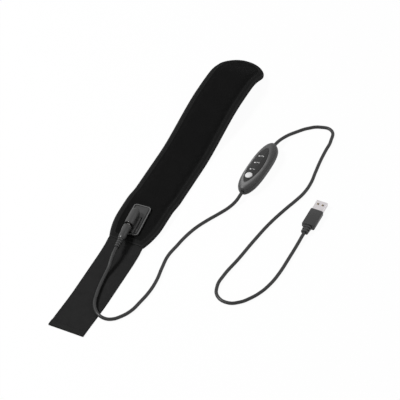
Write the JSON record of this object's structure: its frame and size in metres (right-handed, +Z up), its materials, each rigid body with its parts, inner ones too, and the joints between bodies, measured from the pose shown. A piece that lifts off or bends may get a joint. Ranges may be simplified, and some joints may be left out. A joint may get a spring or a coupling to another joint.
{
  "type": "telescope dew heater strip",
  "caption": "Padded heating strip with a fastening strap, a barrel jack on the band, a lead with a push-button level controller and a USB plug, laid out on a table.",
  "frame": {"origin": "bottom centre of the whole layout's box; the table is z = 0", "axes": "+X runs along the strip towards the rounded end, +Y away from the leads, +Z up"},
  "size_m": [0.43, 0.1901, 0.0192],
  "materials": {
    "band_backing": "closed-loop knit, matt black",
    "heating_film": "amber film",
    "band_fleece": "brushed fleece, matt black",
    "strap_webbing": "loop webbing, matt black",
    "soft_plastic": "soft moulded, satin dark grey",
    "hard_black": "matt black",
    "contacts": "bright",
    "plated_metal": "nickel plated",
    "cord_jacket": "smooth, slightly glossy black",
    "controller_shell": "fine texture, dark grey",
    "label_film": "smooth dark grey",
    "button_cap": "pale grey satin",
    "circuit_board": "green lacquer",
    "led_lens": "clear pale lens",
    "usb_insulator": "white"
  },
  "bodies": {
    "strip": {"back_cover": "band_backing", "heater_film": "heating_film", "top_cover": "band_fleece", "strap": "strap_webbing", "jack_housing": "soft_plastic", "jack_socket": "hard_black", "jack_pin": "contacts", "jack_tab_left": "contacts", "jack_tab_right": "contacts", "plug_moulding": "soft_plastic", "plug_barrel": "plated_metal", "plug_insulator": "hard_black", "plug_inner_contact": "contacts", "lead_cord": "cord_jacket", "supply_cord": "cord_jacket", "controller_cover": "controller_shell", "controller_base": "controller_shell", "controller_label": "label_film", "circuit_board": "circuit_board", "tact_switch": "hard_black", "level_led_1": "led_lens", "level_led_2": "led_lens", "level_led_3": "led_lens", "cord_stopper_in": "hard_black", "cord_stopper_out": "hard_black", "usb_grip": "soft_plastic", "usb_shell": "plated_metal", "usb_tongue": "usb_insulator", "usb_contact_1": "contacts", "usb_contact_2": "contacts", "usb_contact_3": "contacts", "usb_contact_4": "contacts"},
    "button": {"power_button": "button_cap"}
  },
  "joints": [
    {"name": "press_button", "type": "slide", "parent": "strip", "child": "button", "axis": [0, -0.1736, -0.9848], "range_m": [0, 0.0008], "stiffness_N_per_m": 400}
  ]
}
